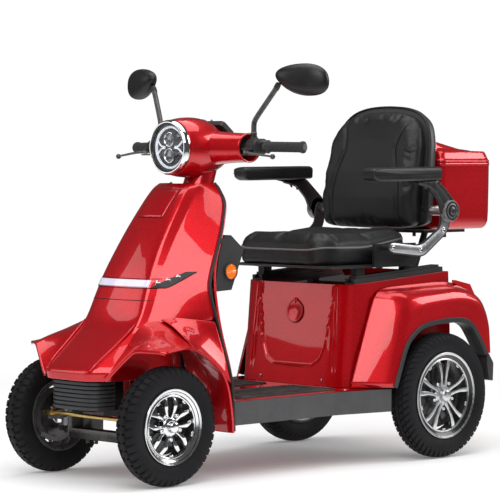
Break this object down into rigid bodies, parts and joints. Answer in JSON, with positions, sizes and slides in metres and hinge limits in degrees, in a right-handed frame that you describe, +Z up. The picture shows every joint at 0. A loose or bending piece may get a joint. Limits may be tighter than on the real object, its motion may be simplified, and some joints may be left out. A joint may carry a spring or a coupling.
{
  "type": "mobility scooter",
  "caption": "Seated road scooter with a steered front pair, leg shield, padded armchair seat with lifting arms, mirrors and a rear top box.",
  "frame": {"origin": "on the ground, midway between front and rear ends and between the sides", "axes": "+Z up, the scooter faces -Y, the rider's left hand is +X"},
  "size_m": [0.9142, 1.746, 1.273],
  "materials": {
    "body_red": "high gloss metallic red paint",
    "frame_black": "powder coat",
    "satin_black": "satin",
    "grille_grey": "fine grained",
    "mat_rubber": "ribbed",
    "amber": "prismatic reflector",
    "lamp_white": "milky lens",
    "tail_red": "lens",
    "battery_case": "moulded case",
    "cast_alloy": "cast",
    "bright_steel": "plated",
    "bar_steel": "black plated",
    "chrome": "polished",
    "clear_lens": "clear",
    "lamp_inner": "lamp housing",
    "grip_rubber": "diamond pattern",
    "lever_black": "satin",
    "button_red": "gloss",
    "mirror_glass": "mirror",
    "gold_zinc": "yellow zinc plate",
    "tyre_rubber": "moulded tread",
    "rim_chrome": "polished",
    "rim_machined": "machined face, black pockets",
    "black_leather": "grained, stitched",
    "brushed_alloy": "brushed"
  },
  "bodies": {
    "chassis": {"chassis_frame": "frame_black", "floor_board": "body_red", "floor_mats": "mat_rubber", "side_skirts": "satin_black", "front_fairing": "body_red", "inner_shield": "satin_black", "side_pods": "satin_black", "side_reflectors": "amber", "front_lamps": "lamp_white", "nose_grille": "grille_grey", "seat_box": "body_red", "rear_fenders": "body_red", "arch_trims": "satin_black", "tail_lamps": "tail_red", "battery_packs": "battery_case", "motor_controller": "cast_alloy", "rear_axle": "frame_black", "seat_rails": "frame_black", "rear_rack": "frame_black", "top_box": "body_red", "body_screws": "bright_steel"},
    "steering": {"steering_column": "frame_black", "handlebar": "bar_steel", "handlebar_cowl": "body_red", "headlamp_bezel": "chrome", "headlamp_lens": "clear_lens", "headlamp_unit": "lamp_inner", "dash_panel": "satin_black", "left_grip": "grip_rubber", "switch_pods": "satin_black", "mirror_stems": "satin_black"},
    "throttle": {"throttle_grip": "grip_rubber"},
    "lever_left": {"brake_lever_left": "lever_black"},
    "lever_right": {"brake_lever_right": "lever_black"},
    "key": {"ignition_key": "bright_steel"},
    "horn": {"horn_button": "button_red"},
    "mirror_left": {"mirror_head_left": "satin_black", "mirror_glass_left": "mirror_glass"},
    "mirror_right": {"mirror_head_right": "satin_black", "mirror_glass_right": "mirror_glass"},
    "knuckle_left": {"steering_knuckle_left": "cast_alloy"},
    "knuckle_right": {"steering_knuckle_right": "cast_alloy"},
    "tie": {"tie_rod": "gold_zinc"},
    "front_wheel_left": {"front_tyre_left": "tyre_rubber", "front_rim_left": "rim_chrome"},
    "front_wheel_right": {"front_tyre_right": "tyre_rubber", "front_rim_right": "rim_chrome"},
    "rear_wheel_left": {"rear_tyre_left": "tyre_rubber", "rear_rim_left": "rim_machined"},
    "rear_wheel_right": {"rear_tyre_right": "tyre_rubber", "rear_rim_right": "rim_machined"},
    "seat": {"seat_pan": "frame_black", "seat_cushion": "black_leather", "seat_links": "brushed_alloy"},
    "backrest": {"backrest_shell": "satin_black", "backrest_cushion": "black_leather"},
    "armrest_left": {"armrest_left": "satin_black"},
    "armrest_right": {"armrest_right": "satin_black"},
    "trunk_lid": {"top_box_lid": "body_red"},
    "charge_cover": {"charge_flap": "body_red"}
  },
  "joints": [
    {"name": "bar_turn", "type": "hinge", "parent": "chassis", "child": "steering", "pos_m": [0, -0.307, 0.93], "axis": [0, 0.342, 0.9397], "range_deg": [-35, 35]},
    {"name": "knuckle_left_turn", "type": "hinge", "parent": "chassis", "child": "knuckle_left", "pos_m": [0.2, -0.692, 0.181], "axis": [0, 0, 1], "range_deg": [-25, 25]},
    {"name": "front_left_roll", "type": "hinge", "parent": "knuckle_left", "child": "front_wheel_left", "pos_m": [0.26, -0.692, 0.181], "axis": [1, 0, 0], "continuous": true},
    {"name": "rear_left_roll", "type": "hinge", "parent": "chassis", "child": "rear_wheel_left", "pos_m": [0.33, 0.448, 0.205], "axis": [1, 0, 0], "continuous": true},
    {"name": "lever_left_pull", "type": "hinge", "parent": "steering", "child": "lever_left", "pos_m": [0.232, -0.334, 1], "axis": [0, 0, 1], "range_deg": [0, 14], "stiffness_Nm_per_rad": 0.6},
    {"name": "mirror_left_swing", "type": "hinge", "parent": "steering", "child": "mirror_left", "pos_m": [0.278, -0.252, 1.184], "axis": [0, 0, 1], "range_deg": [-20, 20]},
    {"name": "armrest_left_lift", "type": "hinge", "parent": "seat", "child": "armrest_left", "pos_m": [0.3, 0.527, 0.806], "axis": [-1, 0, 0], "range_deg": [0, 95]},
    {"name": "knuckle_right_turn", "type": "hinge", "parent": "chassis", "child": "knuckle_right", "pos_m": [-0.2, -0.692, 0.181], "axis": [0, 0, 1], "range_deg": [-25, 25]},
    {"name": "front_right_roll", "type": "hinge", "parent": "knuckle_right", "child": "front_wheel_right", "pos_m": [-0.26, -0.692, 0.181], "axis": [1, 0, 0], "continuous": true},
    {"name": "rear_right_roll", "type": "hinge", "parent": "chassis", "child": "rear_wheel_right", "pos_m": [-0.33, 0.448, 0.205], "axis": [1, 0, 0], "continuous": true},
    {"name": "lever_right_pull", "type": "hinge", "parent": "steering", "child": "lever_right", "pos_m": [-0.232, -0.334, 1], "axis": [0, 0, -1], "range_deg": [0, 14], "stiffness_Nm_per_rad": 0.6},
    {"name": "mirror_right_swing", "type": "hinge", "parent": "steering", "child": "mirror_right", "pos_m": [-0.278, -0.252, 1.184], "axis": [0, 0, 1], "range_deg": [-20, 20]},
    {"name": "armrest_right_lift", "type": "hinge", "parent": "seat", "child": "armrest_right", "pos_m": [-0.3, 0.527, 0.806], "axis": [-1, 0, 0], "range_deg": [0, 95]},
    {"name": "tie_rod_shift", "type": "slide", "parent": "chassis", "child": "tie", "axis": [1, 0, 0], "range_m": [-0.032, 0.032]},
    {"name": "throttle_twist", "type": "hinge", "parent": "steering", "child": "throttle", "pos_m": [-0.259, -0.269, 1.016], "axis": [-0.9622, 0.2718, -0.0147], "range_deg": [0, 60], "stiffness_Nm_per_rad": 0.15},
    {"name": "key_turn", "type": "hinge", "parent": "steering", "child": "key", "pos_m": [-0.038, -0.236, 1.074], "axis": [0, 0.6222, 0.7828], "range_deg": [0, 90]},
    {"name": "horn_press", "type": "slide", "parent": "steering", "child": "horn", "axis": [0, -1, 0], "range_m": [0, 0.002], "stiffness_N_per_m": 600},
    {"name": "seat_slide", "type": "slide", "parent": "chassis", "child": "seat", "axis": [0, 0.9977, 0.0675], "range_m": [-0.08, 0]},
    {"name": "backrest_fold", "type": "hinge", "parent": "seat", "child": "backrest", "pos_m": [0, 0.527, 0.806], "axis": [1, 0, 0], "range_deg": [0, 65]},
    {"name": "lid_open", "type": "hinge", "parent": "chassis", "child": "trunk_lid", "pos_m": [0, 0.873, 0.972], "axis": [-1, 0, 0], "range_deg": [0, 75]},
    {"name": "flap_swing", "type": "hinge", "parent": "chassis", "child": "charge_cover", "pos_m": [0, 0.11516, 0.51483], "axis": [0, -0.9957, 0.0925], "range_deg": [0, 100]}
  ],
  "couplings": [
    {"joint": "knuckle_left_turn", "follows": "bar_turn", "ratio": 0.7},
    {"joint": "knuckle_right_turn", "follows": "bar_turn", "ratio": 0.7},
    {"joint": "tie_rod_shift", "follows": "bar_turn", "m_per_rad": 0.049}
  ]
}
